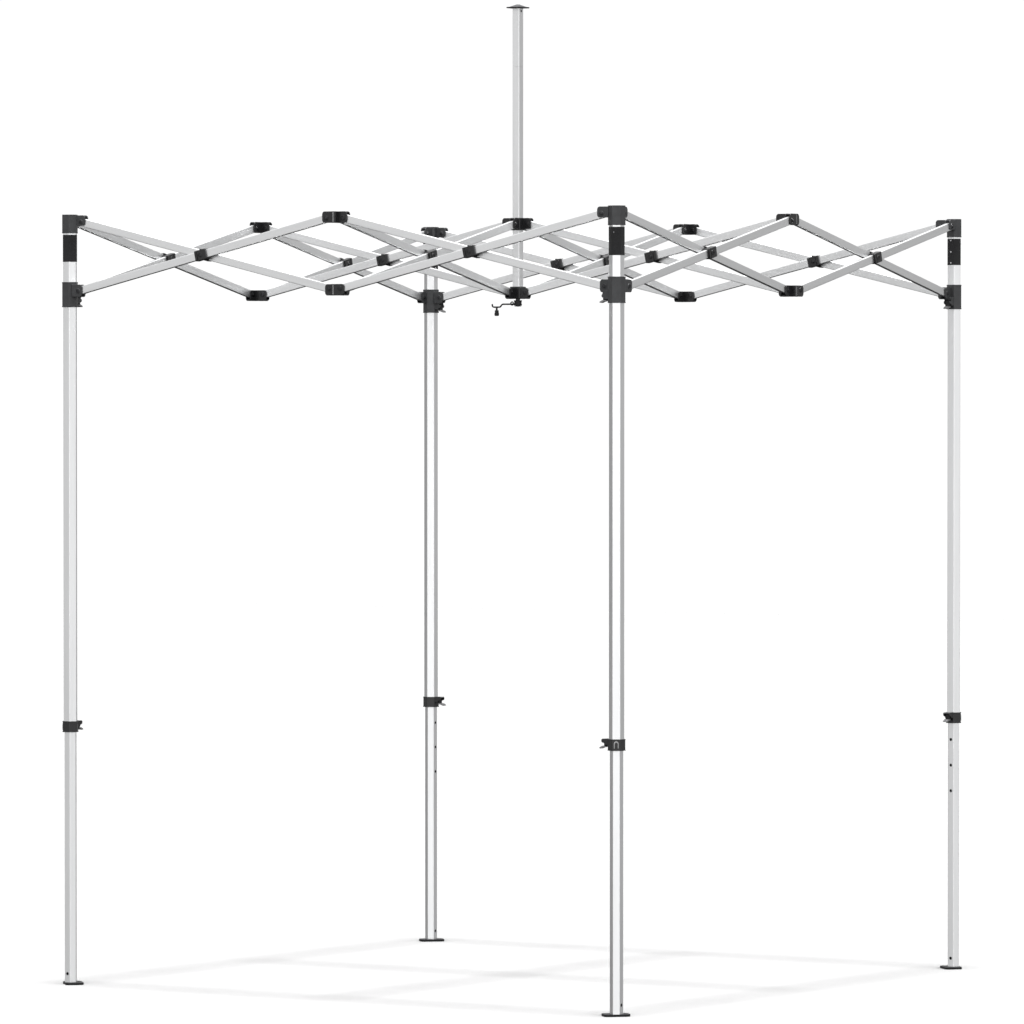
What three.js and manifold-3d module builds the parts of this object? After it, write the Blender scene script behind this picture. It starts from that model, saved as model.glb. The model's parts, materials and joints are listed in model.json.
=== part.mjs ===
// Pop up canopy frame: four telescoping hexagonal legs, a ring of scissor arms round the sides,
// four scissor trusses to the middle, and a square centre pole with a crank.
// Millimetres, +Z up, origin on the ground under the centre pole.
// The frame is the same on all four sides, so one quarter is described for the front side
// (the side that faces -Y, with its left leg at -X) and placed four times, turned by 90 degrees.
import * as THREE from 'three';
import { mergeVertices } from 'three/addons/utils/BufferGeometryUtils.js';
import Module from 'manifold-3d';

const wasm = await Module();
wasm.setup();

// ---------- driving dimensions ----------
const GAP = 0.3; // clearance between pieces that touch
const LEG = 1008; // leg centre line from the middle, along X and along Y
const TOP_PIVOT = 2376; // height of the pivots in the upper brackets
const LOW_PIVOT = 2162; // height of the pivots in the sliding brackets
const LAYER = 7.75; // arm centre plane from its truss plane
const LEG_REACH = 43; // pivot from the leg's centre line
const MID_REACH = 25; // pivot from the middle of the side
const MID_INNER_REACH = 32; // inward pivot from the side's truss plane
const HUB_REACH = 36; // pivot from the centre pole's axis

const OUTER_LEG = { flats: 40, bore: 37, bottom: 790, top: 2396 };
const INNER_LEG = { flats: 35, bore: 32, bottom: 4, top: 1060 };
const HOLES = { radius: 4, first: 817, pitch: 82, count: 4, storage: 34, storageRadius: 5 };
const WRAP = { flats: 42.5, bottom: 2253, top: 2337 };
const LEG_TOP = { flats: 46, bore: 40.6, bottom: 2342, top: 2400 };
const SLIDER = { flats: 46, bore: 40.8, bottom: 2112, top: 2190 };
const COLLAR = { flats: 47, bottom: 788, top: 822 };
const FOOT = { across: 80, along: 57, corner: 15, thick: 7, inward: 8, plug: 56 };

const ARM = { tall: 25, wide: 12, wall: 1.2, end: 8, hole: 4.2 };
const SADDLE = { long: 42, tall: 32, inner: 7.5, outer: 12 };
const BOLT = { radius: 3, nut: 5.5, nutThick: 2.6 };
const EAR = { thick: 3, gap: 13, chamfer: 7 };
const WEB_CLEAR = 15.5; // from a pivot to the web that joins its two ears
// how far each kind of clevis reaches past its pivot, and past it on the open side
const LEG_TOP_CLEVIS = { past: 15, below: 11, web: 6 };
const SLIDER_CLEVIS = { past: 15, below: 20, web: 2.5 };
const MID_CLEVIS = { past: 15, below: 14, web: 5 };
const HUB_CLEVIS = { past: 12, below: 14, web: 5 };
const HUB_SOCKET = 4; // hub body past the open side of its ears
const ROOT = 19; // clevises and housings start this far from a leg's centre line, inside its bracket
const MID_CORE = { half: 8, inner: 15 };

const POLE = { side: 25, bore: 22, seam: 2874, top: 3058 };
const SPIGOT = { side: 21.4, bore: 18.4, bottom: 2560 };
const POLE_HOLE = { radius: 4, height: 3049 };
const CAP = { side: 56, thick: 4, peak: 8 };
const HUB = { side: 38, bore: 26 };
const SPINDLE = { radius: 7, bottom: 2117, washer: 11, washerThick: 3 };
const CRANK = {
  outer: 13, bore: 7.6, bottom: 2120.4, top: 2137, rod: 2.5, high: 2125, low: 2116,
  eye: 22, eyeRadius: 6, eyeHole: 2.4, stepStart: 58, stepEnd: 68, tip: 98, curl: 6,
  grip: 80, gripRadius: 7.5, gripTop: 2106, gripBottom: 2088, neck: 3,
};
const LATCH = { width: 18, travelRoom: 8, pin: 2.6, pinHole: 3.2, wall: 3, room: 32, slab: 34 };
const SLIDER_LATCH = { pin: 2132, top: 2143, bottom: 2123, length: 50, tab: 60, tabDrop: 2112 };
const LEG_LATCH = { pin: 815, top: 822, bottom: 803, length: 46, tab: 55, tabDrop: 789 };

const ARM_SPAN = LEG - LEG_REACH - MID_REACH;
const ARM_RISE = TOP_PIVOT - LOW_PIVOT;
const ARM_LENGTH = Math.hypot(ARM_SPAN, ARM_RISE);
const ARM_SLOPE = Math.atan2(ARM_RISE, ARM_SPAN);
const QUARTER = Math.PI / 2;

// ---------- materials ----------
const MATERIALS = {
  aluminium: { color: 0xc8cbcd, roughness: 0.38, metalness: 0.9 },
  plastic: { color: 0x2b2c2e, roughness: 0.55, metalness: 0.0 },
  steel: { color: 0x9b9da0, roughness: 0.35, metalness: 0.9 },
};

// ---------- solids ----------
function solid(geometry) {
  const bare = geometry.clone();
  bare.deleteAttribute('normal');
  bare.deleteAttribute('uv');
  const merged = mergeVertices(bare, 1e-4);
  return new wasm.Manifold(new wasm.Mesh({
    numProp: 3,
    vertProperties: new Float32Array(merged.attributes.position.array),
    triVerts: new Uint32Array(merged.index.array),
  }));
}

function join(...pieces) {
  return pieces.reduce((whole, piece) => whole.add(piece));
}

function cut(whole, ...tools) {
  return tools.reduce((rest, tool) => rest.subtract(tool), whole);
}

function toGeometry(manifold) {
  const mesh = manifold.getMesh();
  const geometry = new THREE.BufferGeometry();
  geometry.setAttribute('position', new THREE.BufferAttribute(new Float32Array(mesh.vertProperties), 3));
  geometry.setIndex(new THREE.BufferAttribute(new Uint32Array(mesh.triVerts), 1));
  geometry.computeVertexNormals();
  return geometry;
}

function namedMesh(name, manifold, look) {
  const mesh = new THREE.Mesh(toGeometry(manifold), new THREE.MeshStandardMaterial(MATERIALS[look]));
  mesh.name = name;
  return mesh;
}

// A box between two corners.
function block(low, high) {
  const size = high.map((value, axis) => value - low[axis]);
  const middle = high.map((value, axis) => (value + low[axis]) / 2);
  return solid(new THREE.BoxGeometry(...size).translate(...middle));
}

// A square bar on the Z axis.
function squareBar(side, bottom, top) {
  return block([-side / 2, -side / 2, bottom], [side / 2, side / 2, top]);
}

// A hexagonal bar on the Z axis, with corners on the X axis and flats on the Y axis.
function hexBar(flats, bottom, top) {
  const corner = flats / Math.sqrt(3);
  const bar = new THREE.CylinderGeometry(corner, corner, top - bottom, 6, 1, false, QUARTER);
  return solid(bar.rotateX(QUARTER).translate(0, 0, (bottom + top) / 2));
}

// A round bar along one axis, from one value to another, centred on the other two coordinates.
function roundBar(axis, radius, from, to, centre, sides = 6) {
  const bar = new THREE.CylinderGeometry(radius, radius, to - from, sides);
  const middle = (from + to) / 2;
  if (axis === 'x') return solid(bar.rotateZ(QUARTER).translate(middle, centre[0], centre[1]));
  if (axis === 'y') return solid(bar.translate(centre[0], middle, centre[1]));
  return solid(bar.rotateX(QUARTER).translate(centre[0], centre[1], middle));
}

// An outline of [x, z] points, pushed out along Y between two values.
function plateXZ(points, yFrom, yTo) {
  const shape = new THREE.Shape(points.map(([x, z]) => new THREE.Vector2(x, z)));
  const plate = new THREE.ExtrudeGeometry(shape, { depth: yTo - yFrom, bevelEnabled: false });
  return solid(plate.rotateX(QUARTER).translate(0, yTo, 0));
}

function turned(manifold, quarterTurns) {
  return manifold.rotate([0, 0, 90 * quarterTurns]);
}

// ---------- scissor arms ----------
// A rectangular tube along +X from its first pivot, with a saddle block round its middle.
// The arm with the bolt carries the bolt and its nut, and its partner crosses on the +Y side.
// The saddle is deeper on its outer side, away from the partner.
function armSolid(withBolt) {
  const outward = withBolt ? -1 : 1;
  const half = { tall: ARM.tall / 2, wide: ARM.wide / 2 };
  const from = -ARM.end;
  const to = ARM_LENGTH + ARM.end;
  const middle = ARM_LENGTH / 2;
  const tube = block([from, -half.wide, -half.tall], [to, half.wide, half.tall]);
  const faces = [-outward * SADDLE.inner, outward * SADDLE.outer];
  const saddle = block(
    [middle - SADDLE.long / 2, Math.min(...faces), -SADDLE.tall / 2],
    [middle + SADDLE.long / 2, Math.max(...faces), SADDLE.tall / 2],
  );
  const inside = block(
    [from - 1, -half.wide + ARM.wall, -half.tall + ARM.wall],
    [to + 1, half.wide - ARM.wall, half.tall - ARM.wall],
  );
  const endHoles = [0, ARM_LENGTH].map((x) => (
    roundBar('y', ARM.hole, -half.wide - 1, half.wide + 1, [x, 0])
  ));
  const arm = cut(join(tube, saddle), inside, ...endHoles);
  const face = SADDLE.outer;
  if (!withBolt) return cut(arm, roundBar('y', ARM.hole, -face - 1, face + 1, [middle, 0]));
  const nutFace = 2 * LAYER + face + GAP;
  return join(
    arm,
    roundBar('y', BOLT.radius, -face, nutFace, [middle, 0]),
    roundBar('y', BOLT.nut, nutFace, nutFace + BOLT.nutThick, [middle, 0]),
  );
}

const BOLT_ARM = armSolid(true);
const PLAIN_ARM = armSolid(false);

// One crossing: the arm that rises to the right lies on the -Y side, the falling one on +Y.
function crossing(startX, risingName, fallingName) {
  const pair = new THREE.Group();
  const rising = namedMesh(risingName, BOLT_ARM, 'aluminium');
  rising.position.set(startX, -LAYER, LOW_PIVOT);
  rising.rotation.y = -ARM_SLOPE;
  const falling = namedMesh(fallingName, PLAIN_ARM, 'aluminium');
  falling.position.set(startX, LAYER, TOP_PIVOT);
  falling.rotation.y = ARM_SLOPE;
  pair.add(rising, falling);
  return pair;
}

// ---------- clevis: two ears, a web and the pivot bolt, reaching out along +X ----------
// side is +1 for an upper bracket (web on top) and -1 for a sliding one (web underneath).
function clevis({ side, root, reach, past, below, web }) {
  const level = side > 0 ? TOP_PIVOT : LOW_PIVOT;
  const plane = side * LAYER;
  const earEnd = reach + past;
  const webOuter = level + side * (WEB_CLEAR + web);
  const webInner = level + side * WEB_CLEAR;
  const tip = level - side * below;
  const outline = [
    [root, webOuter], [earEnd, webOuter], [earEnd, tip + side * EAR.chamfer],
    [earEnd - EAR.chamfer, tip], [root, tip],
  ];
  const inner = EAR.gap / 2;
  const outer = inner + EAR.thick;
  const bridge = block(
    [root, plane - outer + 1, Math.min(webInner, webOuter)],
    [earEnd, plane + outer - 1, Math.max(webInner, webOuter)],
  );
  return join(
    plateXZ(outline, plane - outer, plane - inner),
    plateXZ(outline, plane + inner, plane + outer),
    bridge,
    roundBar('y', BOLT.radius, plane - inner - 1, plane + inner + 1, [reach, level]),
  );
}

// The two clevises of a leg bracket: one along the side, one along the side next to it.
function legClevises(side, kind) {
  const one = clevis({ side, root: ROOT, reach: LEG_REACH, ...kind });
  return join(one, turned(one, 1));
}

function legTopBracket() {
  const body = hexBar(LEG_TOP.flats, LEG_TOP.bottom, LEG_TOP.top);
  const bore = hexBar(LEG_TOP.bore, LEG_TOP.bottom - 1, OUTER_LEG.top + GAP);
  return cut(join(body, legClevises(1, LEG_TOP_CLEVIS)), bore);
}

// ---------- latches: a sprung pin in a housing on the +Y flat, with a pull tab ----------
function latchHousing({ pin, top, bottom, length }) {
  const half = LATCH.width / 2 + LATCH.wall;
  const shell = block([-half, ROOT, bottom], [half, length, top]);
  const room = block(
    [-LATCH.width / 2, LATCH.room, bottom - 1],
    [LATCH.width / 2, length + 1, top - LATCH.wall],
  );
  return cut(shell, room, roundBar('y', LATCH.pinHole, 0, 40, [0, pin]));
}

function latch({ pin, top, bottom, length, tab, tabDrop }, pinTip) {
  const half = LATCH.width / 2 - 1;
  const back = length - LATCH.travelRoom;
  const slab = block([-half, LATCH.slab, bottom - 1], [half, back, top - LATCH.wall - 1]);
  const tabSide = [
    [LATCH.slab, bottom + 1], [tab - 2, tabDrop], [tab, tabDrop + 2],
    [back, bottom + 4], [LATCH.slab, bottom + 4],
  ];
  const pullTab = turned(plateXZ(tabSide, -half, half), 1);
  return join(slab, pullTab, roundBar('y', LATCH.pin, pinTip, LATCH.slab + 2, [0, pin]));
}

function sliderBracket() {
  const body = hexBar(SLIDER.flats, SLIDER.bottom, SLIDER.top);
  const bore = hexBar(SLIDER.bore, SLIDER.bottom - 1, SLIDER.top + 1);
  const housing = latchHousing(SLIDER_LATCH);
  const pinHole = roundBar('y', LATCH.pinHole, 0, 30, [0, SLIDER_LATCH.pin]);
  return cut(join(body, legClevises(-1, SLIDER_CLEVIS), housing), bore, pinHole);
}

// ---------- legs ----------
// The outer leg tube with the height collar round its lower end and the wrap below its top.
function upperLeg() {
  const tube = hexBar(OUTER_LEG.flats, OUTER_LEG.bottom, OUTER_LEG.top);
  const wrap = hexBar(WRAP.flats, WRAP.bottom, WRAP.top);
  const collar = hexBar(COLLAR.flats, COLLAR.bottom, COLLAR.top);
  const bore = hexBar(OUTER_LEG.bore, COLLAR.bottom - 1, OUTER_LEG.top + 1);
  const latchHole = roundBar('y', LATCH.pinHole, 0, 30, [0, LEG_LATCH.pin]);
  const sliderHole = roundBar('y', HOLES.radius, 0, 30, [0, SLIDER_LATCH.pin]);
  return cut(join(tube, wrap, collar, latchHousing(LEG_LATCH)), bore, latchHole, sliderHole);
}

function footPlate() {
  const [x, y, r] = [FOOT.across / 2, FOOT.along / 2, FOOT.corner];
  const outline = new THREE.Shape();
  outline.absarc(x - r, y - r, r, 0, QUARTER);
  outline.absarc(r - x, y - r, r, QUARTER, 2 * QUARTER);
  outline.absarc(r - x, r - y, r, 2 * QUARTER, 3 * QUARTER);
  outline.absarc(x - r, r - y, r, 3 * QUARTER, 4 * QUARTER);
  const options = { depth: FOOT.thick, bevelEnabled: false, curveSegments: 2 };
  const plate = new THREE.ExtrudeGeometry(outline, options);
  // the long way lies across the diagonal that runs to the middle of the frame
  return solid(plate.translate(0, FOOT.inward, 0)).rotate([0, 0, -45]);
}

// The foot has a solid plug inside the leg, and the storage hole goes through both.
function lowerLeg() {
  const tube = hexBar(INNER_LEG.flats, INNER_LEG.bottom, INNER_LEG.top);
  const bore = hexBar(INNER_LEG.bore, FOOT.plug, INNER_LEG.top + 1);
  const heightHoles = Array.from({ length: HOLES.count }, (_, i) => (
    roundBar('y', HOLES.radius, 0, 30, [0, HOLES.first - i * HOLES.pitch])
  ));
  const storageHole = roundBar('y', HOLES.storageRadius, -30, 30, [0, HOLES.storage]);
  return join(cut(tube, bore, ...heightHoles, storageHole), footPlate());
}

// ---------- mid-side brackets ----------
function midBracket(side) {
  const level = side > 0 ? TOP_PIVOT : LOW_PIVOT;
  const webOuter = level + side * (WEB_CLEAR + MID_CLEVIS.web);
  const tip = level - side * MID_CLEVIS.below;
  const core = block(
    [-MID_CORE.half, -LAYER - EAR.gap / 2 - EAR.thick, Math.min(webOuter, tip)],
    [MID_CORE.half, MID_CORE.inner, Math.max(webOuter, tip)],
  );
  const along = clevis({ side, root: 0, reach: MID_REACH, ...MID_CLEVIS });
  const inward = clevis({ side, root: 1.5, reach: MID_INNER_REACH, ...MID_CLEVIS });
  return join(core, along, turned(along, 2), turned(inward, 1));
}

// ---------- centre ----------
function hubArms(side) {
  const one = clevis({ side, root: HUB.side / 2 - 2, reach: HUB_REACH, ...HUB_CLEVIS });
  return join(one, turned(one, 1), turned(one, 2), turned(one, 3));
}

function hubTop() {
  const bottom = TOP_PIVOT - HUB_CLEVIS.below - HUB_SOCKET;
  const top = TOP_PIVOT + WEB_CLEAR + HUB_CLEVIS.web;
  const bore = squareBar(HUB.bore, bottom - 1, top + 1);
  return cut(join(squareBar(HUB.side, bottom, top), hubArms(1)), bore);
}

// The lower hub with the fixed section of the pole and the spindle that the crank turns on.
function hubBottom() {
  const bottom = LOW_PIVOT - WEB_CLEAR - HUB_CLEVIS.web;
  const body = squareBar(HUB.side, bottom, LOW_PIVOT + HUB_CLEVIS.below + HUB_SOCKET);
  const pole = squareBar(POLE.side, bottom, POLE.seam);
  const bore = squareBar(POLE.bore, bottom + 10, POLE.seam + 1);
  const washerTop = SPINDLE.bottom + SPINDLE.washerThick;
  return cut(join(
    body,
    hubArms(-1),
    pole,
    roundBar('z', SPINDLE.radius, SPINDLE.bottom, bottom + 1, [0, 0], 12),
    roundBar('z', SPINDLE.washer, SPINDLE.bottom, washerTop, [0, 0], 12),
  ), bore);
}

// The upper section of the pole, with the spigot that slides in the fixed section, and its cap.
function poleUpper() {
  const shoulder = POLE.seam + GAP;
  const half = CAP.side / 2;
  const capTop = POLE.top + CAP.thick;
  const peak = new THREE.CylinderGeometry(0, half * Math.SQRT2, CAP.peak, 4, 1, false, QUARTER / 2);
  return cut(
    join(
      squareBar(POLE.side, shoulder, POLE.top + 1),
      squareBar(SPIGOT.side, SPIGOT.bottom, shoulder + 1),
      squareBar(CAP.side, POLE.top, capTop),
      solid(peak.rotateX(QUARTER).translate(0, 0, capTop + CAP.peak / 2)),
    ),
    squareBar(SPIGOT.bore, SPIGOT.bottom - 1, POLE.seam + 12),
    squareBar(POLE.bore, POLE.seam + 6, POLE.top - 1),
    roundBar('x', POLE_HOLE.radius, -20, 20, [0, POLE_HOLE.height], 8),
  );
}

// The crank hangs from the spindle: a barrel, an eye, a stepped rod and a turning grip.
function crank() {
  const barrel = roundBar('z', CRANK.outer, CRANK.bottom, CRANK.top, [0, 0], 16);
  const bore = roundBar('z', CRANK.bore, CRANK.bottom - 1, CRANK.top + 1, [0, 0], 16);
  const eye = roundBar('y', CRANK.eyeRadius, -3, 3, [-CRANK.eye, CRANK.high + 3], 12);
  const eyeHole = roundBar('y', CRANK.eyeHole, -5, 5, [-CRANK.eye, CRANK.high + 3], 8);
  const half = CRANK.rod;
  const rodSide = [
    [-CRANK.outer + 2, CRANK.high + half], [-CRANK.stepStart, CRANK.high + half],
    [-CRANK.stepEnd, CRANK.low + half], [-CRANK.tip + 6, CRANK.low + half],
    [-CRANK.tip, CRANK.low + CRANK.curl], [-CRANK.tip - 3, CRANK.low + CRANK.curl - 3],
    [-CRANK.tip + 4, CRANK.low - half], [-CRANK.stepEnd - 2, CRANK.low - half],
    [-CRANK.stepStart - 2, CRANK.high - half], [-CRANK.outer + 2, CRANK.high - half],
  ];
  const rod = plateXZ(rodSide.reverse(), -half, half);
  const neck = roundBar('z', CRANK.neck, CRANK.gripTop - 1, CRANK.low, [-CRANK.grip, 0], 8);
  const gripPlace = [-CRANK.grip, 0];
  const grip = roundBar('z', CRANK.gripRadius, CRANK.gripBottom, CRANK.gripTop, gripPlace, 12);
  return cut(join(barrel, eye, rod, neck, grip), bore, eyeHole);
}

// ---------- assembly ----------
const LEG_NAMES = ['front_left', 'front_right', 'back_right', 'back_left'];
const SIDE_NAMES = ['front', 'right', 'back', 'left'];
const shared = {
  upperLeg: upperLeg(),
  legTop: legTopBracket(),
  lowerLeg: lowerLeg(),
  slider: sliderBracket(),
  sliderLatch: latch(SLIDER_LATCH, OUTER_LEG.flats / 2 + GAP),
  legLatch: latch(LEG_LATCH, INNER_LEG.flats / 2 + GAP),
  midTop: midBracket(1),
  midBottom: midBracket(-1),
};

function quarter(index) {
  const legName = LEG_NAMES[index];
  const side = SIDE_NAMES[index];
  const leg = new THREE.Group();
  leg.position.set(-LEG, -LEG, 0);
  leg.add(
    namedMesh(`upper_leg_${legName}`, shared.upperLeg, 'aluminium'),
    namedMesh(`leg_top_bracket_${legName}`, shared.legTop, 'plastic'),
    namedMesh(`lower_leg_${legName}`, shared.lowerLeg, 'aluminium'),
    namedMesh(`slider_bracket_${legName}`, shared.slider, 'plastic'),
    namedMesh(`slider_latch_${legName}`, shared.sliderLatch, 'steel'),
    namedMesh(`leg_latch_${legName}`, shared.legLatch, 'steel'),
  );

  const middle = new THREE.Group();
  middle.position.set(0, -LEG, 0);
  middle.add(
    namedMesh(`mid_top_bracket_${side}`, shared.midTop, 'plastic'),
    namedMesh(`mid_bottom_bracket_${side}`, shared.midBottom, 'plastic'),
    crossing(-LEG + LEG_REACH, `arm_${side}_left_rising`, `arm_${side}_left_falling`),
    crossing(MID_REACH, `arm_${side}_right_rising`, `arm_${side}_right_falling`),
  );

  const truss = new THREE.Group();
  truss.rotation.z = QUARTER;
  truss.add(
    crossing(-LEG + MID_INNER_REACH, `arm_${side}_centre_rising`, `arm_${side}_centre_falling`),
  );

  const whole = new THREE.Group();
  whole.add(leg, middle, truss);
  whole.rotation.z = index * QUARTER;
  return whole;
}

const canopy = new THREE.Group();
canopy.name = 'pop_up_canopy_frame';
for (let index = 0; index < 4; index += 1) canopy.add(quarter(index));
canopy.add(
  namedMesh('hub_top', hubTop(), 'plastic'),
  namedMesh('hub_bottom', hubBottom(), 'plastic'),
  namedMesh('pole_upper', poleUpper(), 'aluminium'),
  namedMesh('crank', crank(), 'steel'),
);

export default canopy;
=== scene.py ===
import json
import math

import bmesh
import bpy
from mathutils import Matrix, Vector


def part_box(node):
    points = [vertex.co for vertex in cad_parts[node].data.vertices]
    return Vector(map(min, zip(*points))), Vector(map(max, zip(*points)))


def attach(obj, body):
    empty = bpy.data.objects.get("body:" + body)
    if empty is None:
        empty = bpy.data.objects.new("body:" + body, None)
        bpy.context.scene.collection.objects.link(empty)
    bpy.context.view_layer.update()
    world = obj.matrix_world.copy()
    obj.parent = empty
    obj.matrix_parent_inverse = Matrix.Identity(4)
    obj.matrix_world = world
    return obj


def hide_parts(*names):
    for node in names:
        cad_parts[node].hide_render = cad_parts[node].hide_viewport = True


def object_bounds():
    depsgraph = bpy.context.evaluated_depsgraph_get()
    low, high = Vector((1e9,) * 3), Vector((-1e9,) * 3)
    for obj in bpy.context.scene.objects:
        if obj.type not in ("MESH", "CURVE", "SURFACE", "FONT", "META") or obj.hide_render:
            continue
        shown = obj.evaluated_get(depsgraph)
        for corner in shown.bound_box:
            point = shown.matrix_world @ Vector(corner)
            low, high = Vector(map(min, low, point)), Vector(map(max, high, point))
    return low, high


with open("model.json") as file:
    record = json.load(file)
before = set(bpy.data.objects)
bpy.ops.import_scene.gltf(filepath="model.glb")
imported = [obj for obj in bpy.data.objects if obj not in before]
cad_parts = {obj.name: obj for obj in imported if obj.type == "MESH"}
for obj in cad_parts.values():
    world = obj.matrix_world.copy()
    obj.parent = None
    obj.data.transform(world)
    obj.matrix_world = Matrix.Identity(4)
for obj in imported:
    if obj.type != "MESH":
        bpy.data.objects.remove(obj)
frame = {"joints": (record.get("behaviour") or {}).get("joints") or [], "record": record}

# Looks of a folding canopy frame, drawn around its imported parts.
# Each piece is drawn once in millimetres, in a local frame whose Z axis is up, and is then
# placed in metres, because the frame is the same on all four sides.

cad_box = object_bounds()
MM = 0.001
LEGS = ("front_left", "front_right", "back_right", "back_left")
SIDES = ("front", "right", "back", "left")

# ---------- places, from the frame ----------

JOINTS = {joint["name"]: joint for joint in frame["joints"]}


def pivot(name):
    """Where a joint is, in millimetres."""
    return Vector(JOINTS[name]["pos_m"]) / MM


def height(node):
    """Lowest and highest point of a CAD node, in millimetres."""
    low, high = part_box(node)
    return low.z / MM, high.z / MM


# LEG is how far a leg stands from the centre, along X and along Y. Each arm lies LAYER beside its row.
# A reach runs from the middle of a bracket or hub to its pivots.
LEG = -frame["record"]["mounts"][0]["pos_m"][0] / MM
TOP_PIVOT = pivot("leg_top_pivot_front_left").z
LOW_PIVOT = pivot("slider_pivot_front_left").z
LEVEL = {1: TOP_PIVOT, -1: LOW_PIVOT}
LAYER = abs(pivot("frame_fold").x)
LEG_REACH = LEG + pivot("leg_top_pivot_front_left").x
HUB_REACH = abs(pivot("frame_fold").y)
MID_REACH = abs(pivot("top_left_pivot_front").x)
MID_INNER_REACH = LEG + pivot("mid_top_pivot_front").y
ARM_SPAN = LEG - LEG_REACH - MID_REACH
ARM_RISE = TOP_PIVOT - LOW_PIVOT
ARM_LENGTH = math.hypot(ARM_SPAN, ARM_RISE)
ARM_SLOPE = math.atan2(ARM_RISE, ARM_SPAN)

# ---------- driving dimensions of the looks, in millimetres ----------

OUTER_LEG = {"flats": 40.0, "bore": 37.0, "corner": 2.2, "inner_corner": 0.7, "lift": 2.0}
INNER_LEG = {"flats": 35.0, "bore": 32.0, "corner": 2.0, "inner_corner": 0.8, "lift": 4.0}
HOLE = {"radius": 4.0, "first": 817.0, "pitch": 82.0, "count": 4, "storage": 34.0,
        "storage_radius": 5.0, "storage_bore": 3.2}
# painted shade: dark bushes that line the height holes so that the holes read dark
SHADE_BUSH = {"outer": 4.8, "bore": 3.7, "deep": 5.5, "sunk": 0.1}
PLAY = 0.05  # between a dark bush (painted shade) or a pale strip (painted highlight) and its seat
WRAP = {"flats": 42.4, "bottom": 2253.0, "top": 2337.0, "corner": 5.0}
STUD = {"radius": 2.4, "tall": 0.8, "steps": (-35.0, 0.0, 36.0)}
RIVET_HEAD = {"radius": 1.9, "tall": 0.6, "aside": 8.0, "down": 16.0}
LEG_TOP = {"flats": 46.0, "bottom": 2342.0, "rim": 3.0, "lid": 3.6}
SLIDER = {"flats": 46.0, "bottom": 2112.0, "top": 2190.0, "rim": 3.2}
COLLAR = {"flats": 46.0, "bottom": 788.0, "top": 822.0, "rim": 2.4}
ARCH = {"half": 7.0, "wall": 2.4, "foot": 7.0, "crown": 6.0, "steps": 12}
FOOT = {"across": 80.0, "along": 57.0, "corner": 13.0, "thick": 7.0, "inward": 8.0,
        "plug": 56.0, "seat": 9.0}
ARM = {"tall": 25.0, "wide": 12.0, "wall": 1.2, "corner": 1.6, "end": 8.0, "hole": 4.2}
ARM_PLUG = {"clear": 0.15, "from": 0.7, "to": 5.6}
SADDLE = {"long": 42.0, "tall": 32.0, "inner": 7.5, "outer": 12.0, "slot": (-12.4, -9.8),
          "boss": 8.2, "raised": 0.8, "recess": 6.2, "sunk": 1.5}
BOLT = {"radius": 3.0, "bore": 3.3, "head": 5.2, "head_tall": 2.2, "socket": 1.9,
        "nut": 5.6, "nut_tall": 3.4}
EAR = {"thick": 3.0, "gap": 13.0, "round": 8.0, "boss": 8.2, "raised": 1.4, "recess": 6.0, "sunk": 0.8}
WEB_CLEAR = 15.5
# how far each kind of clevis reaches past its pivot, and past it on the open side
LEG_TOP_CLEVIS = {"past": 15.0, "below": 11.0, "web": 6.0}
SLIDER_CLEVIS = {"past": 15.0, "below": 20.0, "web": 2.5}
MID_CLEVIS = {"past": 15.0, "below": 14.0, "web": 5.0}
HUB_CLEVIS = {"past": 12.0, "below": 14.0, "web": 5.0}
MID_CORE = {"half": 8.0, "inward": 15.0, "slot": 1.6, "slot_floor": -15.4}
# liner is the bore of the dark lining that paints the shade inside the cross hole
POLE = {"side": 25.0, "bore": 22.0, "corner": 1.8, "seam": 2874.0, "top": 3058.0, "hole": 3049.0,
        "hole_radius": 4.0, "liner": 3.55}
SPIGOT = {"side": 21.4, "bore": 18.4, "corner": 1.2, "above": 40.0}
CAP = {"side": 56.0, "corner": 6.0, "thick": 4.0, "peak": 8.0, "base": 24.0, "crown": 4.0,
       "plug": 10.8, "plug_deep": 18.0}
HUB = {"side": 38.0, "bore": 26.0, "socket": 4.0}
# A latch slides along Y, out from the leg. Its housing is a side view, with heights above its bottom.
SLIDER_LATCH = {"pin": 2132.0, "top": 2143.0, "bottom": 2123.0, "length": 50.0, "housing": (
    (18, 0), (36, 0), (36, 4), (44, 6), (46, 10), (45, 14), (38, 16), (42, 19), (42, 24), (38, 27),
    (18, 27))}
LEG_LATCH = {"pin": 815.0, "top": 822.0, "bottom": 803.0, "length": 46.0, "housing": (
    (18, 1), (34, 1), (35, 7), (43, 8), (46, 11), (46, 17), (43, 19.5), (18, 19.5))}
LATCH = {"half": 8.0, "room": 9.0, "cheek": 12.0, "pin": 2.6, "pin_hole": 3.2, "pin_clear": 0.3}
TAB_TIP = 56.0
CRANK = {"outer": 13.0, "bore": 7.6, "bottom": 2120.4, "top": 2137.0, "rod": 2.5, "high": 2125.0,
         "low": 2116.0, "eye": 22.0, "bend": (57.0, 69.0), "grip": 80.0, "tip": 98.0, "curl": 7.0}
GRIP = {"top": 2106.0, "bottom": 2088.0, "neck": 3.0}
SPINDLE = {"radius": 7.0, "washer": 11.0, "tall": 27.0}

# ---------- shapes: outlines ----------


def circle(radius, centre=(0.0, 0.0), sides=24):
    """Points of a circle."""
    turns = [2 * math.pi * step / sides for step in range(sides)]
    return [(centre[0] + radius * math.cos(a), centre[1] + radius * math.sin(a)) for a in turns]


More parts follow.
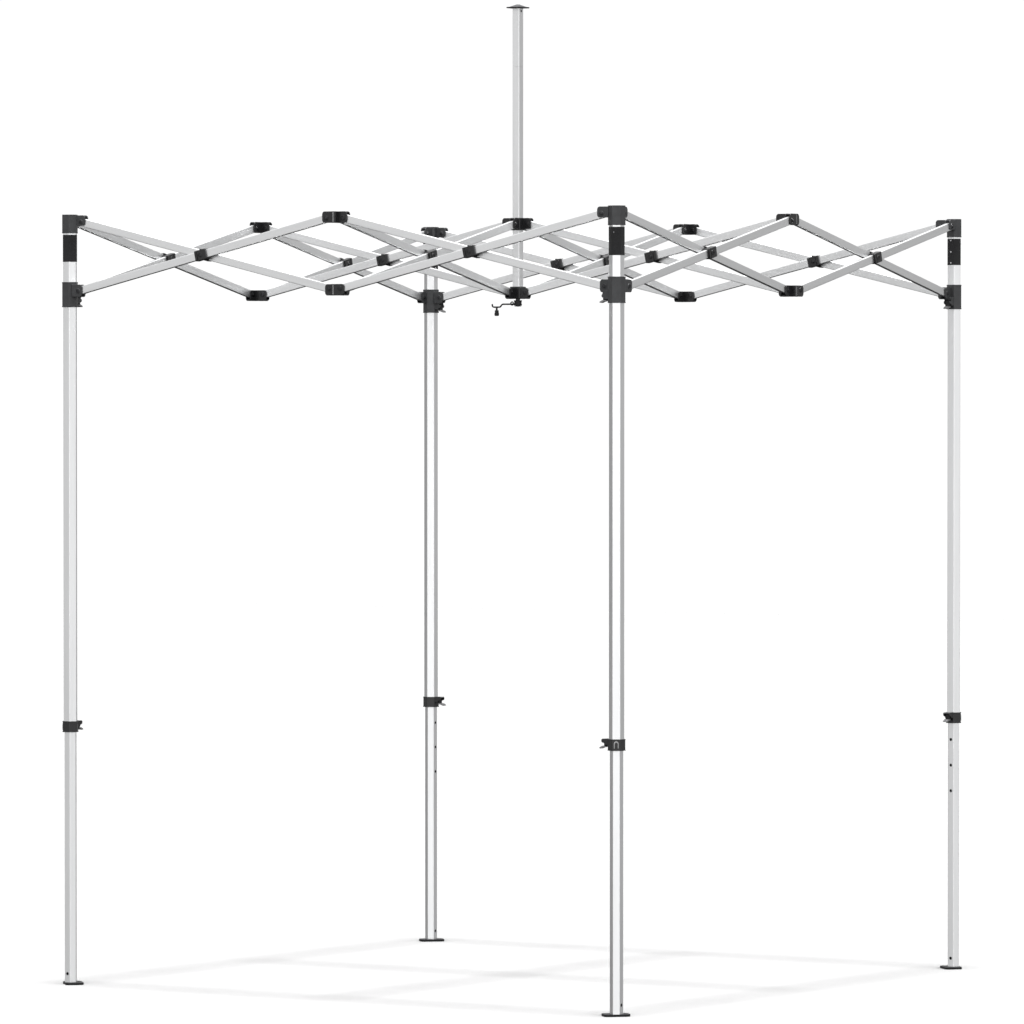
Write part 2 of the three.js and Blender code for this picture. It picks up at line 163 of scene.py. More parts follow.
def fillet(corners, radius, steps=4):
    """An outline through these corners, with each corner turned into an arc."""
    radii = radius if isinstance(radius, (list, tuple)) else [radius] * len(corners)
    points = []
    for index, r in enumerate(radii):
        here = Vector(corners[index])
        if r <= 0:
            points.append(tuple(here))
            continue
        back = (Vector(corners[index - 1]) - here).normalized()
        ahead = (Vector(corners[(index + 1) % len(corners)]) - here).normalized()
        half = back.angle(ahead) / 2
        start = here + back * r / math.tan(half)
        end = here + ahead * r / math.tan(half)
        centre = here + (back + ahead).normalized() * r / math.sin(half)
        for step in range(steps + 1):
            spoke = (start - centre).lerp(end - centre, step / steps).normalized()
            points.append(tuple(centre + spoke * r))
    return points


def rectangle(low, high, radius=0.0, steps=3):
    """A rectangle between two corners, with rounded corners."""
    corners = [(low[0], low[1]), (high[0], low[1]), (high[0], high[1]), (low[0], high[1])]
    return fillet(corners, radius, steps) if radius else corners


def square(half, radius):
    """A square about the origin, from half its side."""
    return rectangle((-half, -half), (half, half), radius)


def hexagon(flats, radius, steps=3):
    """A hexagon with corners on the X axis and flats on the Y axis."""
    corner = flats / math.sqrt(3)
    return fillet(circle(corner, sides=6), radius, steps)


# ---------- shapes: solids ----------

AXES = {
    "x": lambda u, v, w: (w, u, v),
    "y": lambda u, v, w: (u, w, v),
    "z": lambda u, v, w: (u, v, w),
}


def added(name, data):
    """A new object in the scene."""
    thing = bpy.data.objects.new(name, data)
    bpy.context.scene.collection.objects.link(thing)
    return thing


def as_object(bm):
    """A mesh object made from a bmesh, with its faces pointing out."""
    bmesh.ops.recalc_face_normals(bm, faces=bm.faces)
    mesh = bpy.data.meshes.new("shape")
    bm.to_mesh(mesh)
    bm.free()
    return added("shape", mesh)


def bridge(bm, loops):
    """Faces between each loop of points and the next one."""
    for first, second in zip(loops, loops[1:]):
        for here in range(len(first)):
            on = (here + 1) % len(first)
            bm.faces.new((first[here], first[on], second[on], second[here]))


def soften(bm, edges, width):
    """Rounds these edges off."""
    bmesh.ops.bevel(bm, geom=edges, offset=width, segments=2, profile=0.5, affect="EDGES")


def prism(outline, low, high, axis="z", edge=0.5):
    """An outline pushed along an axis, with both of its rims rounded off."""
    at = AXES[axis]
    bm = bmesh.new()
    rings = [[bm.verts.new(at(u, v, w)) for u, v in outline] for w in (low, high)]
    caps = [bm.faces.new(ring) for ring in rings]
    bridge(bm, rings)
    if edge:
        soften(bm, [e for cap in caps for e in cap.edges], edge)
    return as_object(bm)


def tube(outer, inner, low, high, axis="z", edge=0.3):
    """A straight tube between an outer and an inner outline of equally many points."""
    at = AXES[axis]
    bm = bmesh.new()
    sections = ((outer, low), (outer, high), (inner, high), (inner, low))
    loops = [[bm.verts.new(at(u, v, w)) for u, v in outline] for outline, w in sections]
    bridge(bm, loops + loops[:1])
    if edge:
        rims = [set(loop) for loop in loops]
        soften(bm, [e for e in bm.edges if any(set(e.verts) <= rim for rim in rims)], edge)
    return as_object(bm)


def rod(radius, low, high, centre=(0.0, 0.0), axis="z", edge=0.4, sides=24):
    """A round bar along an axis."""
    return prism(circle(radius, centre, sides), low, high, axis, edge)


def drill(radius, low, high, centre, axis="y", sides=24):
    """A round cutter along an axis."""
    return rod(radius, low, high, centre, axis, 0, sides)


def box(low, high, radius, axis, edge):
    """A block between two corners, rounded round one axis and at its rims."""
    a, b, c = {"x": (1, 2, 0), "y": (0, 2, 1), "z": (0, 1, 2)}[axis]
    return prism(rectangle((low[a], low[b]), (high[a], high[b]), radius), low[c], high[c], axis, edge)


def lathe(profile, centre=(0.0, 0.0), sides=32):
    """A profile of (radius, height) points turned about the vertical. It starts and ends on the axis."""
    bm = bmesh.new()
    rings = []
    for radius, z in profile:
        if radius == 0:
            rings.append([bm.verts.new((centre[0], centre[1], z))])
        else:
            rings.append([bm.verts.new((x, y, z)) for x, y in circle(radius, centre, sides)])
    for lower, upper in zip(rings, rings[1:]):
        for here in range(sides):
            on = (here + 1) % sides
            corners = [lower[here % len(lower)], lower[on % len(lower)],
                       upper[on % len(upper)], upper[here % len(upper)]]
            bm.faces.new(list(dict.fromkeys(corners)))
    return as_object(bm)


def lathe_ring(profile, sides=36):
    """A profile that closes on itself, turned about the vertical."""
    bm = bmesh.new()
    rings = [[bm.verts.new((x, y, z)) for x, y in circle(radius, sides=sides)] for radius, z in profile]
    bridge(bm, rings + rings[:1])
    return as_object(bm)


def sweep(path, radius, sides=14):
    """A round rod along a path that stays in the XZ plane, closed by domed ends."""
    points = [Vector(p) for p in path]
    tangents = [(ahead - behind).normalized()
                for behind, ahead in zip(points[:1] + points[:-1], points[1:] + points[-1:])]
    across = Vector((0.0, 1.0, 0.0))
    dome_out, dome_radius = 0.7 * radius, 0.6 * radius
    stations = [(points[0] - tangents[0] * dome_out, tangents[0], dome_radius)]
    stations += [(p, t, radius) for p, t in zip(points, tangents)]
    stations.append((points[-1] + tangents[-1] * dome_out, tangents[-1], dome_radius))
    bm = bmesh.new()
    rings = []
    for point, tangent, r in stations:
        up = across.cross(tangent)
        rings.append([bm.verts.new(point + across * v + up * u) for u, v in circle(r, sides=sides)])
    bridge(bm, rings)
    bm.faces.new(rings[0])
    bm.faces.new(rings[-1])
    return as_object(bm)


def ring(radius, thick, centre, sides=28, wire_sides=10):
    """A ring of round wire that stands in the XZ plane, about a point in that plane."""
    bm = bmesh.new()
    loops = [[bm.verts.new((centre[0] + u * (radius + a), b, centre[1] + v * (radius + a)))
              for a, b in circle(thick, sides=wire_sides)]
             for u, v in circle(1.0, sides=sides)]
    bridge(bm, loops + loops[:1])
    return as_object(bm)


# ---------- shapes: joining, cutting, turning ----------


def settle(shape):
    """Applies the modifiers of a shape to its mesh."""
    settled = bpy.data.meshes.new_from_object(
        shape.evaluated_get(bpy.context.evaluated_depsgraph_get()))
    shape.modifiers.clear()
    shape.data = settled
    return shape


def combine(whole, others, operation):
    """Joins other shapes to the whole, or cuts them from it, and uses them up."""
    for other in others:
        step = whole.modifiers.new("step", "BOOLEAN")
        step.operation = operation
        step.solver = "MANIFOLD"
        step.object = other
    settle(whole)
    for other in others:
        bpy.data.objects.remove(other)
    return whole


def join(whole, *others):
    return combine(whole, others, "UNION")


def cut(whole, *tools):
    return combine(whole, tools, "DIFFERENCE")


def group(*shapes):
    """Several closed shapes in one mesh, without joining their solids."""
    bm = bmesh.new()
    for shape in shapes:
        bm.from_mesh(shape.data)
        bpy.data.objects.remove(shape)
    return as_object(bm)


def turned(shape, quarter_turns):
    return turned_by(shape, 90 * quarter_turns)


def turned_by(shape, degrees):
    """A shape turned about the vertical."""
    shape.data.transform(Matrix.Rotation(math.radians(degrees), 4, "Z"))
    return shape


def drawn(shape, material, smooth=34.0):
    """The finished mesh of a shape in metres: smooth over small angles, with flats kept flat."""
    mesh = shape.data
    mesh.transform(Matrix.Scale(MM, 4))
    mesh.polygons.foreach_set("use_smooth", [True] * len(mesh.polygons))
    mesh.set_sharp_from_angle(angle=math.radians(smooth))
    weigh = shape.modifiers.new("weigh", "WEIGHTED_NORMAL")
    weigh.keep_sharp = True
    settle(shape)
    mesh = shape.data
    bpy.data.objects.remove(shape)
    mesh.materials.clear()
    mesh.materials.append(material)
    return mesh


# ---------- materials ----------

PATTERN_LOW, PATTERN_HIGH = 0.3, 0.7  # nearly all of a noise pattern lies between these


def new_material(name, slot, color, roughness, metallic=0.0, **sockets):
    """A Principled material whose uniform values sit on its own sockets."""
    material = bpy.data.materials.new(name)
    material.use_nodes = True
    shader = material.node_tree.nodes["Principled BSDF"]
    shader.inputs["Base Color"].default_value = (*color, 1.0)
    shader.inputs["Roughness"].default_value = roughness
    shader.inputs["Metallic"].default_value = metallic
    for socket, value in sockets.items():
        shader.inputs[socket.replace("_", " ")].default_value = value
    return material


def noise(material, scale, detail=3.0, seed=0.0):
    """Noise in the piece's own coordinates. scale gives cells per metre along X, Y and Z."""
    tree = material.node_tree
    where = tree.nodes.new("ShaderNodeTexCoord")
    mapping = tree.nodes.new("ShaderNodeMapping")
    mapping.inputs["Scale"].default_value = scale
    mapping.inputs["Location"].default_value = (seed, seed, seed)
    texture = tree.nodes.new("ShaderNodeTexNoise")
    texture.inputs["Scale"].default_value = 1.0
    texture.inputs["Detail"].default_value = detail
    tree.links.new(where.outputs["Object"], mapping.inputs["Vector"])
    tree.links.new(mapping.outputs["Vector"], texture.inputs["Vector"])
    return texture.outputs["Fac"]


def spread(material, source, low, high):
    """Stretches a pattern over a range of values."""
    node = material.node_tree.nodes.new("ShaderNodeMapRange")
    node.inputs["From Min"].default_value = PATTERN_LOW
    node.inputs["From Max"].default_value = PATTERN_HIGH
    node.inputs["To Min"].default_value = low
    node.inputs["To Max"].default_value = high
    material.node_tree.links.new(source, node.inputs["Value"])
    return node.outputs["Result"]


def vary_color(material, source, dark, light):
    """Lets the base colour follow a pattern, from dark to light."""
    tree = material.node_tree
    ramp = tree.nodes.new("ShaderNodeValToRGB")
    for stop, position, color in zip(ramp.color_ramp.elements, (PATTERN_LOW, PATTERN_HIGH), (dark, light)):
        stop.position = position
        stop.color = (*color, 1.0)
    tree.links.new(source, ramp.inputs["Fac"])
    tree.links.new(ramp.outputs["Color"], tree.nodes["Principled BSDF"].inputs["Base Color"])


def vary_roughness(material, source, low, high):
    """Lets the roughness follow a pattern, from low to high."""
    shader = material.node_tree.nodes["Principled BSDF"]
    material.node_tree.links.new(spread(material, source, low, high), shader.inputs["Roughness"])


def bump(material, source, depth, strength=1.0):
    """A fine relief. depth is in metres."""
    tree = material.node_tree
    node = tree.nodes.new("ShaderNodeBump")
    node.inputs["Distance"].default_value = depth
    node.inputs["Strength"].default_value = strength
    tree.links.new(source, node.inputs["Height"])
    tree.links.new(node.outputs["Normal"], tree.nodes["Principled BSDF"].inputs["Normal"])


def anodised(name, along):
    """Satin silver aluminium with a fine drawn grain along one axis of the tube."""
    material = new_material(name, "aluminium", (0.76, 0.765, 0.77), 0.36, 1.0)
    grain = noise(material, [14.0 if axis == along else 2600.0 for axis in range(3)], 4.0)
    cloud = noise(material, [3.0 if axis == along else 60.0 for axis in range(3)], 2.0, 5.0)
    vary_color(material, cloud, (0.745, 0.75, 0.755), (0.775, 0.78, 0.785))
    vary_roughness(material, grain, 0.31, 0.41)
    bump(material, grain, 0.00001, 0.4)
    return material


def moulded(name, color, roughness, specular, grit=1400.0, slot="black_plastic"):
    """Moulded nylon with a fine spark-eroded texture and faint cloudiness."""
    material = new_material(name, slot, color, roughness, Specular_IOR_Level=specular)
    fine = noise(material, (grit, grit, grit), 2.0)
    cloud = noise(material, (45.0, 45.0, 45.0), 3.0, 9.0)
    vary_color(material, cloud, tuple(0.86 * c for c in color), tuple(1.16 * c for c in color))
    vary_roughness(material, fine, roughness - 0.07, roughness + 0.07)
    bump(material, fine, 0.00005, 0.5)
    return material


def hook_and_loop():
    """The matt, fuzzy loop side of a hook-and-loop band."""
    material = new_material("hook_and_loop", "black_plastic", (0.016, 0.016, 0.017), 0.95,
                            Sheen_Weight=0.06, Sheen_Roughness=0.5, Specular_IOR_Level=0.15)
    loops = noise(material, (2200.0, 2200.0, 2200.0), 3.0)
    knit = noise(material, (900.0, 900.0, 340.0), 2.0, 3.0)
    vary_color(material, knit, (0.015, 0.015, 0.016), (0.032, 0.032, 0.033))
    bump(material, loops, 0.0003, 0.8)
    return material


def plated(name, slot, color, roughness):
    """Plated or blackened steel with fine spangle."""
    material = new_material(name, slot, color, roughness, 1.0)
    spangle = noise(material, (420.0, 420.0, 420.0), 3.0)
    vary_color(material, spangle, tuple(0.88 * c for c in color), tuple(1.08 * c for c in color))
    vary_roughness(material, spangle, roughness - 0.06, roughness + 0.08)
    bump(material, spangle, 0.00002, 0.3)
    return material


LEG_METAL = anodised("anodised_leg", 2)
ARM_METAL = anodised("anodised_arm", 0)
PLASTIC = moulded("black_nylon", (0.040, 0.041, 0.043), 0.40, 0.32)
LINK_PLASTIC = moulded("link_nylon", (0.011, 0.011, 0.012), 0.31, 0.42)
PLUG = moulded("plug_nylon", (0.014, 0.014, 0.015), 0.60, 0.25)
FOOT_COAT = moulded("foot_coating", (0.010, 0.010, 0.011), 0.50, 0.18, 900.0)
CAP_GREY = moulded("cap_nylon", (0.032, 0.032, 0.034), 0.50, 0.30)
# painted highlight: a pale nylon for the light caught on the edges of the collar's arch and of the mid
# brackets' slot
PAINTED_HIGHLIGHT_NYLON = moulded("painted_highlight_nylon", (0.34, 0.342, 0.345), 0.45, 0.40)
WRAP_CLOTH = hook_and_loop()
ZINC = plated("zinc", "latch_metal", (0.62, 0.62, 0.63), 0.34)
RIVET = plated("rivet", "latch_metal", (0.20, 0.20, 0.205), 0.42)
TAB_STEEL = plated("tab_steel", "latch_metal", (0.30, 0.30, 0.305), 0.36)
BLACK_STEEL = plated("black_steel", "crank_metal", (0.055, 0.055, 0.058), 0.40)
CRANK_COAT = moulded("crank_coating", (0.010, 0.010, 0.011), 0.40, 0.28, 900.0, "crank_metal")

# ---------- placing ----------


def spot(x, y, z=0.0):
    """A place given in millimetres."""
    return Matrix.Translation(Vector((x, y, z)) * MM)


def quarter(index):
    """The turn that carries the front side, and its left leg, to side number index."""
    return Matrix.Rotation(index * math.pi / 2, 4, "Z")


def place(name, mesh, where, body, replaced=None):
    """A copy of a drawn piece, riding on a body."""
    piece = added(name, mesh)
    piece.matrix_world = where
    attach(piece, body)
    if replaced:
        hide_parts(replaced)


# ---------- fasteners ----------


def pan_head(centre, face):
    """A button head with a hexagon socket, on the -Y side of a face."""
    top = face - BOLT["head_tall"]
    head = rod(BOLT["head"], top, face, centre, "y", edge=1.1)
    return cut(head, drill(BOLT["socket"], top - 1.0, top + 1.3, centre, sides=6))


def lock_nut(centre, face):
    """A hexagon lock nut on the +Y side of a face, with its rounded collar and the end of the bolt."""
    radius, tall = BOLT["nut"], BOLT["nut_tall"]
    nut = rod(radius, face, face + tall * 0.66, centre, "y", edge=0.5, sides=6)
    nut_collar = rod(radius * 0.78, face + 1.0, face + tall, centre, "y", edge=0.8)
    tip = rod(BOLT["radius"] - 0.1, face + 1.0, face + tall + 0.6, centre, "y", edge=0.4, sides=16)
    return join(nut, nut_collar, tip)


def bolt(centre, near, far):
    """A bolt along Y with its head on the near face and its nut on the far one."""
    shank = rod(BOLT["radius"], near, far, centre, "y", edge=0, sides=16)
    return group(pan_head(centre, near), lock_nut(centre, far), shank)


# ---------- clevis: two ears and a web, reaching out along +X ----------


def clevis(side, root, reach, kind):
    """side is +1 for an upper bracket, with its web on top, and -1 for a sliding one."""
    level = LEVEL[side]
    plane = side * LAYER
    ear_end = reach + kind["past"]
    web_outer = level + side * (WEB_CLEAR + kind["web"])
    web_inner = level + side * WEB_CLEAR
    tip = level - side * kind["below"]
    outline = fillet([(root, web_outer), (ear_end, web_outer), (ear_end, tip), (root, tip)],
                     [0.0, EAR["round"], EAR["round"], 0.0], steps=6)
    inner = EAR["gap"] / 2
    outer = inner + EAR["thick"]
    pieces = [prism(outline, plane + low, plane + high, "y", edge=0.9)
              for low, high in ((-outer, -inner), (inner, outer))]
    low, high = sorted((web_inner, web_outer - side * 0.9))
    pieces.append(box((root, plane - inner - 1.5, low), (ear_end - 3.0, plane + inner + 1.5, high),
                      1.0, "y", edge=0.4))
    for low, high in ((-outer - EAR["raised"], -inner), (inner, outer + EAR["raised"])):
        pieces.append(rod(EAR["boss"], plane + low, plane + high, (reach, level), "y", edge=1.0))
    whole = join(pieces[0], *pieces[1:])
    floor = outer - EAR["sunk"]
    recess = [drill(EAR["recess"], plane + low, plane + high, (reach, level))
              for low, high in ((-outer - 3.0, -floor), (floor, outer + 3.0))]
    bore = drill(BOLT["bore"], plane - outer - 3.0, plane + outer + 3.0, (reach, level))
    return cut(whole, bore, *recess)


def clevis_bolt(side, reach):
    """The pivot bolt of a clevis."""
    plane = side * LAYER
    seat = EAR["gap"] / 2 + EAR["thick"] - EAR["sunk"]
    return bolt((reach, LEVEL[side]), plane - seat, plane + seat)


# the clevises of each bracket: quarter turns from +X, where the ears start, and the reach
LEG_ARMS = [(turn, LEG_TOP["flats"] / 2 - 4, LEG_REACH) for turn in (0, 1)]
MID_ARMS = [(0, 0.0, MID_REACH), (2, 0.0, MID_REACH), (1, 1.5, MID_INNER_REACH)]
HUB_ARMS = [(turn, HUB["side"] / 2 - 2, HUB_REACH) for turn in range(4)]


def clevises(side, kind, arms):
    return [turned(clevis(side, root, reach, kind), turn) for turn, root, reach in arms]


def pivot_bolts(side, arms):
    return group(*[turned(clevis_bolt(side, reach), turn) for turn, _, reach in arms])


# ---------- leg brackets ----------


def leg_top_bracket():
    bottom, top = LEG_TOP["bottom"], height("leg_top_bracket_front_left")[1]
    body = prism(hexagon(LEG_TOP["flats"], 3.2), bottom, top, edge=1.4)
    rim = prism(hexagon(LEG_TOP["flats"] + 1.0, 3.4), bottom, bottom + LEG_TOP["rim"])
    bracket = join(body, rim, *clevises(1, LEG_TOP_CLEVIS, LEG_ARMS))
    bore = prism(hexagon(OUTER_LEG["flats"] + 0.6, 2.2), bottom - 1, top - LEG_TOP["lid"], edge=0)
    return cut(bracket, bore)


def latch_housing(latch):
    """The housing of a latch, and the room inside it for the slide."""
    side = fillet([(out, latch["bottom"] + up) for out, up in latch["housing"]], 1.0, 3)
    shell = turned(prism(side, -LATCH["cheek"], LATCH["cheek"], "y", edge=0.9), 1)
    half = LATCH["room"]
    room = box((-half, 32, latch["bottom"] - 9), (half, latch["length"] + 10, latch["top"] - 3),
               1.0, "x", edge=0)
    return shell, room


def pin_hole(latch):
    """The hole that the pin of a latch passes through, as a cutter."""
    return drill(LATCH["pin_hole"], 0, 34, (0, latch["pin"]))


def slider_bracket():
    low, high = SLIDER["bottom"], SLIDER["top"]
    body = prism(hexagon(SLIDER["flats"], 3.0), low, high, edge=1.2)
    rim = SLIDER["rim"]
    rims = [prism(hexagon(SLIDER["flats"] + 1.4, 3.4), z, z + rim) for z in (low, high - rim)]
    shell, room = latch_housing(SLIDER_LATCH)
    bracket = join(body, *rims, shell, *clevises(-1, SLIDER_CLEVIS, LEG_ARMS))
    bore = prism(hexagon(OUTER_LEG["flats"] + 0.9, 2.2), low - 1, high + 1, edge=0)
    return cut(bracket, bore, room, pin_hole(SLIDER_LATCH))


def latch_slide(latch, leg):
    """The part of a latch that slides in its housing. Its sprung pin stops at the leg's flat."""
    half = LATCH["half"]
    slide = box((-half, 33, latch["bottom"] - 4), (half, latch["length"] - 7, latch["top"] - 4),
                1.2, "x", edge=0.6)
    pin_tip = leg["flats"] / 2 + LATCH["pin_clear"]
    return join(slide, rod(LATCH["pin"], pin_tip, 36, (0, latch["pin"]), "y"))


def pull_tab(latch):
    """The bent tab under a latch that a finger pulls, with grip ribs on its lip."""
    tip, root, half = TAB_TIP, latch["bottom"] - 2.0, LATCH["half"]
    side = fillet([(33, root - 3.4), (tip - 14, root - 4.4), (tip - 3, root - 8.4), (tip, root - 7.0),
                   (tip - 1, root - 4.6), (tip - 11, root), (33, root)],
                  [0.0, 2.0, 1.0, 1.0, 1.0, 2.0, 0.0])
    tab = turned(prism(side, -half, half, "y", edge=0.6), 1)
    grips = [turned(rod(0.8, -6.5, 6.5, (x, root - 4.4 + (tip - x) * 0.42), "y", edge=0.2, sides=10), 1)
             for x in (tip - 3, tip - 6, tip - 9)]
    return join(tab, *grips)


# ---------- legs ----------


def leg_tube(leg, node):
    """A hexagonal tube that starts a little above the bottom of its CAD node."""
    low, high = height(node)
    return tube(hexagon(leg["flats"], leg["corner"]), hexagon(leg["bore"], leg["inner_corner"]),
                low + leg["lift"], high)


def outer_leg():
    holes = [drill(HOLE["radius"], 0, 30, (0, latch["pin"])) for latch in (LEG_LATCH, SLIDER_LATCH)]
    return cut(leg_tube(OUTER_LEG, "upper_leg_front_left"), *holes)


def arch():
    """A raised arch on the flat of the collar at 120 degrees from its latch. It is drawn in a pale colour,
    a painted highlight for the light that its raised edges catch.
    """
    bottom, top = COLLAR["bottom"] + ARCH["foot"], COLLAR["top"] - ARCH["crown"]
    half, face = ARCH["half"], COLLAR["flats"] / 2
    inner_half = half - ARCH["wall"]
    turns = [math.pi * step / ARCH["steps"] for step in range(ARCH["steps"] + 1)]
    crown = [(half * math.cos(a), top - half + half * math.sin(a)) for a in turns]
    inner = [(inner_half * math.cos(a), top - half + inner_half * math.sin(a)) for a in reversed(turns)]
    outline = [(half, bottom), *crown, (-half, bottom),
               (-inner_half, bottom), *inner, (inner_half, bottom)]
    return turned_by(prism(outline, face - 1.0, face + 1.8, "y", edge=0.5), 120)


def collar():
    """The collar that is fixed to the lower end of the outer leg, with its latch housing."""
    low, high, rim = COLLAR["bottom"], COLLAR["top"], COLLAR["rim"]
    body = prism(hexagon(COLLAR["flats"], 4.0), low, high, edge=0.9)
    rims = [prism(hexagon(COLLAR["flats"] + 2.0, 4.4), z, z + rim) for z in (low, high - rim)]
    shell, room = latch_housing(LEG_LATCH)
    whole = join(body, *rims, shell)
    bore = prism(hexagon(OUTER_LEG["flats"] + 0.2, 2.2), low - 1, high + 1, edge=0)
    return cut(whole, bore, room, pin_hole(LEG_LATCH))


def wrap_band():
    """A band of hook-and-loop cloth round the leg, lapped over itself down one flat."""
    inner = hexagon(OUTER_LEG["flats"] + 0.1, OUTER_LEG["corner"], steps=6)
    outer = hexagon(WRAP["flats"], WRAP["corner"], steps=6)
    band = tube(outer, inner, WRAP["bottom"], WRAP["top"], edge=0.45)
    face = WRAP["flats"] / 2
    lap = box((-9, face - 0.8, WRAP["bottom"] + 0.6), (9.5, face + 0.7, WRAP["top"] - 0.6), 1.2, "y", 0.4)
    return join(band, turned_by(lap, 60))


def wrap_studs():
    """Three studs in a row down the wrap, on the latch's side."""
    face = WRAP["flats"] / 2
    middle = (WRAP["top"] + WRAP["bottom"]) / 2
    return group(*[rod(STUD["radius"], face - 0.4, face + STUD["tall"], (0, middle + z), "y", 0.6, 16)
                   for z in STUD["steps"]])


def wrap_rivet():
    """One small rivet, near the top of the wrap."""
    face = WRAP["flats"] / 2
    centre = (RIVET_HEAD["aside"], WRAP["top"] - RIVET_HEAD["down"])
    return turned_by(
        rod(RIVET_HEAD["radius"], face - 0.4, face + RIVET_HEAD["tall"], centre, "y", 0.45, 16), 120)


def height_holes():
    """The centre of each height hole, down one flat of a lower leg."""
    return [(0, HOLE["first"] - step * HOLE["pitch"]) for step in range(HOLE["count"])]


def lower_leg():
    holes = [drill(SHADE_BUSH["outer"], 0, 30, centre) for centre in height_holes()]
    return cut(leg_tube(INNER_LEG, "lower_leg_front_left"), *holes,
               drill(HOLE["storage_radius"], -30, 30, (0, HOLE["storage"])))


def height_hole_shade_bushes():
    """Black bushes in the height holes of a lower leg: dark linings that paint the shade inside the holes.
    """
    face = INNER_LEG["flats"] / 2
    return group(*[tube(circle(SHADE_BUSH["outer"] - PLAY, centre), circle(SHADE_BUSH["bore"], centre),
                        face - SHADE_BUSH["deep"], face - SHADE_BUSH["sunk"], "y", edge=0)
                   for centre in height_holes()])


def foot_plate():
    """The plate under a leg, its long way across the diagonal, with a dark plug that fills the leg's end: a
    fixing for the plate, and also a dark fill that paints the shade inside the storage hole.
    """
    x, y = FOOT["across"] / 2, FOOT["along"] / 2
    outline = rectangle((-x, -y), (x, y), FOOT["corner"], steps=6)
    plate = prism(outline, 0, FOOT["thick"], edge=0.9)
    plate.data.transform(Matrix.Translation((0, FOOT["inward"], 0)))
    plate = turned_by(plate, -45)
    # the plug is partly painted shade: its dark coat fills the leg's end so that the storage hole reads
    # dark
    plug_outline = hexagon(INNER_LEG["bore"] - 0.3, 1.0)
    plug = prism(plug_outline, FOOT["thick"] - 1, FOOT["plug"], edge=0.8)
    seat = tube(hexagon(INNER_LEG["flats"] + 0.2, 2.0), plug_outline,
                FOOT["thick"] - 0.6, FOOT["thick"] + FOOT["seat"], edge=0)
    return cut(join(plate, plug), seat, drill(HOLE["storage_bore"], -30, 30, (0, HOLE["storage"])))


# ---------- scissor arms ----------


def arm_tube():
    half_wide, half_tall, wall = ARM["wide"] / 2, ARM["tall"] / 2, ARM["wall"]
    outer = rectangle((-half_wide, -half_tall), (half_wide, half_tall), ARM["corner"])
    inner = rectangle((wall - half_wide, wall - half_tall), (half_wide - wall, half_tall - wall), 0.5)
    whole = tube(outer, inner, -ARM["end"], ARM_LENGTH + ARM["end"], "x")
    holes = [drill(ARM["hole"], -9, 9, (x, 0)) for x in (0, ARM_LENGTH)]
    return cut(whole, *holes)


def arm_plugs():
    """The plastic plugs that close both ends of an arm."""
    inset = ARM["wall"] + ARM_PLUG["clear"]
    low = (inset - ARM["wide"] / 2, inset - ARM["tall"] / 2)
    high = (ARM["wide"] / 2 - inset, ARM["tall"] / 2 - inset)
    near, far = -ARM["end"], ARM_LENGTH + ARM["end"]
    out, deep = ARM_PLUG["from"], ARM_PLUG["to"]
    ends = ((out + near, deep + near), (far - deep, far - out))
    return group(*[prism(rectangle(low, high, 1.0), a, b, "x", edge=0.8) for a, b in ends])


def span(way, near, far):
    """The stretch between two distances, on the side that way says, -1 or +1."""
    return sorted((way * near, way * far))


def saddle(face):
    """The block round the middle of an arm. face is its outer side, -1 or +1 along Y."""
    middle = ARM_LENGTH / 2
    half_long, half_tall = SADDLE["long"] / 2, SADDLE["tall"] / 2
    outer = SADDLE["outer"]
    low, high = span(face, -SADDLE["inner"], outer)
    outline = rectangle((middle - half_long, -half_tall), (middle + half_long, half_tall), 2.4)
    block = prism(outline, low, high, "y", edge=1.1)
    boss = rod(SADDLE["boss"], *span(face, outer - 2, outer + SADDLE["raised"]), (middle, 0), "y", edge=0.7)
    reach, arm_wide, arm_tall = half_long + 3, ARM["wide"] / 2 + 0.1, ARM["tall"] / 2 + 0.1
    channel = box((middle - reach, -arm_wide, -arm_tall), (middle + reach, arm_wide, arm_tall),
                  ARM["corner"], "x", edge=0)
    recess = drill(SADDLE["recess"], *span(face, outer - SADDLE["sunk"], outer + 3), (middle, 0))
    low, high = span(face, 2.0, outer + 3)
    slot_from, slot_to = SADDLE["slot"]
    slot = box((middle + slot_from, low, -half_tall - 1), (middle + slot_to, high, half_tall + 1),
               0, "y", edge=0)
    return cut(join(block, boss), channel, recess, slot, drill(BOLT["bore"], -16, 16, (middle, 0)))


def crossing_bolt():
    """The bolt through both saddles of a crossing, drawn in the frame of the arm that carries it."""
    seat = SADDLE["outer"] - SADDLE["sunk"]
    return bolt((ARM_LENGTH / 2, 0), -seat, 2 * LAYER + seat)


# ---------- mid-side brackets ----------


def mid_heights(side):
    """Lowest and highest point of a mid bracket."""
    return sorted((LEVEL[side] + side * (WEB_CLEAR + MID_CLEVIS["web"]),
                   LEVEL[side] - side * MID_CLEVIS["below"]))


def mid_bracket(side):
    low, high = mid_heights(side)
    half, slot = MID_CORE["half"], MID_CORE["slot"]
    front = -LAYER - EAR["gap"] / 2 - EAR["thick"]
    core = box((-half, front, low), (half, MID_CORE["inward"], high), 2.0, "z", edge=0.9)
    groove = box((-slot, -22, low - 1), (slot, MID_CORE["slot_floor"], high + 1), 0, "z", edge=0)
    return cut(join(core, *clevises(side, MID_CLEVIS, MID_ARMS)), groove)


def mid_highlight_strip(side):
    """The pale strip at the bottom of the slot in a mid bracket's outer face, a painted highlight: its pale
    colour stands in for the light that the slot's edges catch.
    """
    low, high = mid_heights(side)
    half, floor = MID_CORE["slot"] - PLAY, MID_CORE["slot_floor"]
    return box((-half, floor - 1.3, low + 2.5), (half, floor + 0.2, high - 2.5), 0.3, "z", edge=0.3)


# ---------- centre ----------


